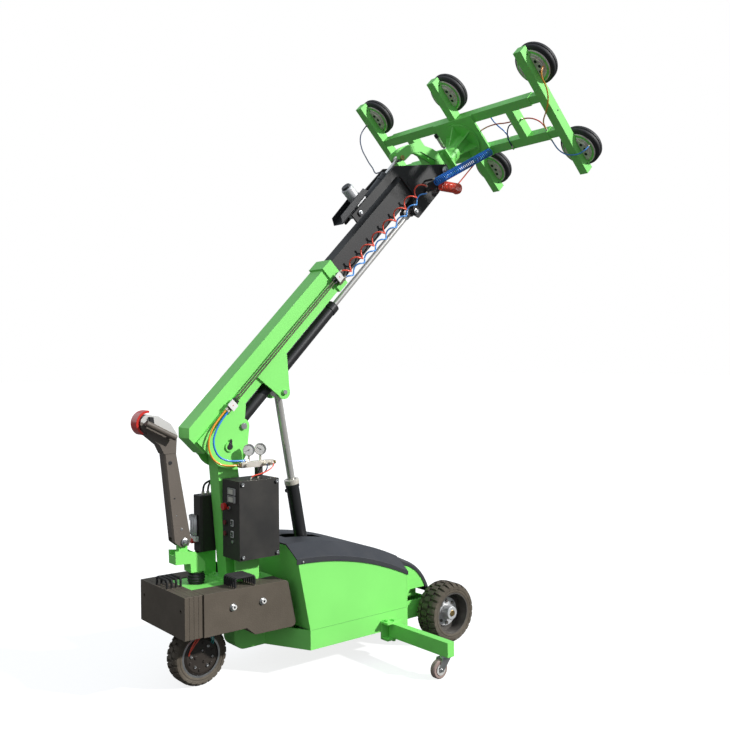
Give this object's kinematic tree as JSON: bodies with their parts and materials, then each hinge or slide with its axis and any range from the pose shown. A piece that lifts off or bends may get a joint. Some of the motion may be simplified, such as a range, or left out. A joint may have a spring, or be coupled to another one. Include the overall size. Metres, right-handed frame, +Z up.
{
  "type": "vacuum glass trolley",
  "caption": "Pedestrian vacuum lifter on wheels: a telescopic boom on a mast carries a tilting, turning frame of suction cups over a ballasted, tiller-steered chassis.",
  "frame": {"origin": "on the ground, midway between the tiller's rear end and the foremost cup, on the trolley's middle plane", "axes": "+X forwards, +Y to the trolley's left, +Z up"},
  "size_m": [2.6204, 1.6499, 3.378],
  "materials": {
    "green_paint": "gloss lime-green paint",
    "black_paint": "satin black paint",
    "cover_black": "textured charcoal moulding",
    "ballast_iron": "rough black-brown paint on cast iron",
    "zinc": "zinc plate",
    "box_black": "matt black powder coat",
    "display_plastic": "grey display windows",
    "nickel": "nickel plate",
    "battery_case": "plain case",
    "pump_alloy": "cast alloy",
    "black_rubber": "black rubber",
    "red_plastic": "red plastic",
    "black_plastic": "black plastic",
    "motor_black": "black motor cap",
    "tyre_rubber": "dusty tyre rubber",
    "grey_plastic": "pale grey plastic",
    "rim_paint": "dark rim paint",
    "caster_tread": "pinkish-grey tread",
    "pipe_steel": "steel pipe",
    "rod_chrome": "hard chrome",
    "motor_alloy": "bare alloy and black paint",
    "orange_hose": "orange and blue hose",
    "red_hose": "red and blue tube",
    "blue_hose": "blue and red curled tube"
  },
  "bodies": {
    "chassis": {"chassis_frame": "green_paint", "body_shell": "green_paint", "top_cover": "cover_black", "mast": "green_paint", "front_axle": "black_paint", "rear_ballast": "ballast_iron", "side_ballast": "ballast_iron", "ballast_bolts": "zinc", "control_box": "box_black", "control_lid": "box_black", "panel_displays": "display_plastic", "vacuum_manifold": "nickel", "hydraulic_unit": "box_black", "battery": "battery_case", "vacuum_pump": "pump_alloy", "steering_boot": "black_rubber", "loop_hoses": "orange_hose"},
    "estop": {"estop_button": "red_plastic"},
    "upper_rocker": {"rocker_upper": "black_plastic"},
    "lower_rocker": {"rocker_lower": "black_plastic"},
    "lever_one": {"valve_lever_1": "zinc"},
    "lever_two": {"valve_lever_2": "zinc"},
    "lever_three": {"valve_lever_3": "zinc"},
    "steering": {"steering_column": "green_paint", "drive_motor": "motor_black"},
    "drive_wheel": {"drive_tyre": "tyre_rubber", "drive_rim": "zinc"},
    "tiller": {"tiller_arm": "box_black", "tiller_head": "grey_plastic"},
    "bumper": {"tiller_button": "red_plastic"},
    "thumb": {"thumb_lever": "black_plastic"},
    "right_wheel": {"front_tyre_right": "tyre_rubber", "front_rim_right": "rim_paint"},
    "left_wheel": {"front_tyre_left": "tyre_rubber", "front_rim_left": "rim_paint"},
    "right_outrigger": {"outrigger_right": "green_paint"},
    "left_outrigger": {"outrigger_left": "green_paint"},
    "right_caster": {"caster_fork_right": "zinc"},
    "left_caster": {"caster_fork_left": "zinc"},
    "right_caster_wheel": {"caster_wheel_right": "caster_tread"},
    "left_caster_wheel": {"caster_wheel_left": "caster_tread"},
    "boom_body": {"boom": "green_paint", "boom_pipes": "pipe_steel", "tele_barrel": "black_paint"},
    "inner_body": {"inner_boom": "black_paint", "tele_rod": "rod_chrome", "spiral_hoses": "red_hose", "coil_hoses": "blue_hose"},
    "lever_body": {"tilt_lever": "green_paint"},
    "actuator": {"tilt_actuator": "motor_alloy"},
    "actuator_rod": {"tilt_rod": "rod_chrome"},
    "lift_rod_body": {"lift_rod": "rod_chrome"},
    "lift_barrel_body": {"lift_barrel": "black_paint"},
    "frame_body": {"vacuum_frame": "green_paint", "cups_mid": "black_rubber", "frame_tubes": "red_hose"},
    "right_arm": {"end_arm_right": "green_paint", "cups_right": "black_rubber"},
    "left_arm": {"end_arm_left": "green_paint", "cups_left": "black_rubber"}
  },
  "joints": [
    {"name": "steer", "type": "hinge", "parent": "chassis", "child": "steering", "pos_m": [-0.98621, 0, 0.42], "axis": [0, 0, 1], "range_deg": [-75, 75]},
    {"name": "drive_spin", "type": "hinge", "parent": "steering", "child": "drive_wheel", "pos_m": [-0.98621, 0, 0.149], "axis": [0, 1, 0], "continuous": true},
    {"name": "tiller_pitch", "type": "hinge", "parent": "steering", "child": "tiller", "pos_m": [-1.06321, 0, 0.726], "axis": [0, 1, 0], "range_deg": [-70, 0], "stiffness_Nm_per_rad": 34, "springref_deg": 57.3},
    {"name": "bumper_press", "type": "slide", "parent": "tiller", "child": "bumper", "axis": [1, 0, 0], "range_m": [0, 0.008], "stiffness_N_per_m": 600, "springref_m": -0.002},
    {"name": "thumb_turn", "type": "hinge", "parent": "tiller", "child": "thumb", "pos_m": [-1.23421, 0, 1.32], "axis": [0, 1, 0], "range_deg": [-30, 30], "stiffness_Nm_per_rad": 1.5},
    {"name": "right_wheel_spin", "type": "hinge", "parent": "chassis", "child": "right_wheel", "pos_m": [0.43179, -0.316, 0.168], "axis": [0, 1, 0], "continuous": true},
    {"name": "left_wheel_spin", "type": "hinge", "parent": "chassis", "child": "left_wheel", "pos_m": [0.43179, 0.316, 0.168], "axis": [0, 1, 0], "continuous": true},
    {"name": "right_outrigger_swing", "type": "hinge", "parent": "chassis", "child": "right_outrigger", "pos_m": [0.02579, -0.335, 0.148], "axis": [0, 0, 1], "range_deg": [-90, 0]},
    {"name": "left_outrigger_swing", "type": "hinge", "parent": "chassis", "child": "left_outrigger", "pos_m": [0.02579, 0.335, 0.148], "axis": [0, 0, 1], "range_deg": [0, 90]},
    {"name": "right_caster_swivel", "type": "hinge", "parent": "right_outrigger", "child": "right_caster", "pos_m": [0.02579, -0.728, 0.1], "axis": [0, 0, 1], "continuous": true},
    {"name": "right_caster_spin", "type": "hinge", "parent": "right_caster", "child": "right_caster_wheel", "pos_m": [-0.01421, -0.728, 0.048], "axis": [0, 1, 0], "continuous": true},
    {"name": "left_caster_swivel", "type": "hinge", "parent": "left_outrigger", "child": "left_caster", "pos_m": [0.02579, 0.728, 0.1], "axis": [0, 0, 1], "continuous": true},
    {"name": "left_caster_spin", "type": "hinge", "parent": "left_caster", "child": "left_caster_wheel", "pos_m": [-0.01421, 0.728, 0.048], "axis": [0, 1, 0], "continuous": true},
    {"name": "boom_luff", "type": "hinge", "parent": "chassis", "child": "boom_body", "pos_m": [-0.83021, 0, 1.181], "axis": [0, 1, 0], "range_deg": [-5, 30], "deforming": ["loop_hoses"]},
    {"name": "lift_rod_turn", "type": "hinge", "parent": "boom_body", "child": "lift_rod_body", "pos_m": [-0.49433, 0, 1.44616], "axis": [0, 1, 0], "range_deg": [-40, 10]},
    {"name": "lift_stroke", "type": "slide", "parent": "lift_rod_body", "child": "lift_barrel_body", "axis": [0.1787, 0, -0.9839], "range_m": [-0.32, 0.12]},
    {"name": "boom_extend", "type": "slide", "parent": "boom_body", "child": "inner_body", "axis": [0.7071, 0, 0.7071], "range_m": [-0.65, 0], "deforming": ["spiral_hoses"]},
    {"name": "head_tilt", "type": "hinge", "parent": "inner_body", "child": "lever_body", "pos_m": [0.70422, 0, 2.76633], "axis": [0, 1, 0], "range_deg": [-5, 45], "deforming": ["coil_hoses", "frame_tubes"]},
    {"name": "actuator_turn", "type": "hinge", "parent": "inner_body", "child": "actuator", "pos_m": [0.04024, 0, 2.44319], "axis": [0, 1, 0], "range_deg": [-15, 6]},
    {"name": "actuator_stroke", "type": "slide", "parent": "actuator", "child": "actuator_rod", "axis": [0.6777, 0, 0.7354], "range_m": [-0.06, 0.34]},
    {"name": "frame_rotate", "type": "hinge", "parent": "lever_body", "child": "frame_body", "pos_m": [0.87392, 0, 2.9417], "axis": [0.7071, 0, 0.7071], "range_deg": [-90, 90], "deforming": ["frame_tubes", "coil_hoses"]},
    {"name": "right_arm_slide", "type": "slide", "parent": "frame_body", "child": "right_arm", "axis": [0, -1, 0], "range_m": [0, 0.2], "deforming": ["frame_tubes"]},
    {"name": "left_arm_slide", "type": "slide", "parent": "frame_body", "child": "left_arm", "axis": [0, 1, 0], "range_m": [0, 0.2], "deforming": ["frame_tubes"]},
    {"name": "estop_press", "type": "slide", "parent": "chassis", "child": "estop", "axis": [1, 0, 0], "range_m": [0, 0.006], "stiffness_N_per_m": 800, "springref_m": -0.002},
    {"name": "upper_rocker_turn", "type": "hinge", "parent": "chassis", "child": "upper_rocker", "pos_m": [-0.86721, -0.157, 0.812], "axis": [0, 1, 0], "range_deg": [-10, 10], "stiffness_Nm_per_rad": 0.4},
    {"name": "lower_rocker_turn", "type": "hinge", "parent": "chassis", "child": "lower_rocker", "pos_m": [-0.86721, -0.157, 0.756], "axis": [0, 1, 0], "range_deg": [-10, 10], "stiffness_Nm_per_rad": 0.4},
    {"name": "lever_one_pull", "type": "hinge", "parent": "chassis", "child": "lever_one", "pos_m": [-0.90621, 0.186, 0.722], "axis": [1, 0, 0], "range_deg": [-15, 15], "stiffness_Nm_per_rad": 4},
    {"name": "lever_two_pull", "type": "hinge", "parent": "chassis", "child": "lever_two", "pos_m": [-0.88021, 0.186, 0.722], "axis": [1, 0, 0], "range_deg": [-15, 15], "stiffness_Nm_per_rad": 4},
    {"name": "lever_three_pull", "type": "hinge", "parent": "chassis", "child": "lever_three", "pos_m": [-0.85421, 0.186, 0.722], "axis": [1, 0, 0], "range_deg": [-15, 15], "stiffness_Nm_per_rad": 4}
  ],
  "couplings": [
    {"joint": "lift_rod_turn", "follows": "boom_luff", "ratio": -0.87915},
    {"joint": "lift_stroke", "follows": "boom_luff", "m_per_rad": -0.40368},
    {"joint": "actuator_turn", "follows": "head_tilt", "ratio": -0.16412},
    {"joint": "actuator_stroke", "follows": "head_tilt", "m_per_rad": 0.31396}
  ]
}
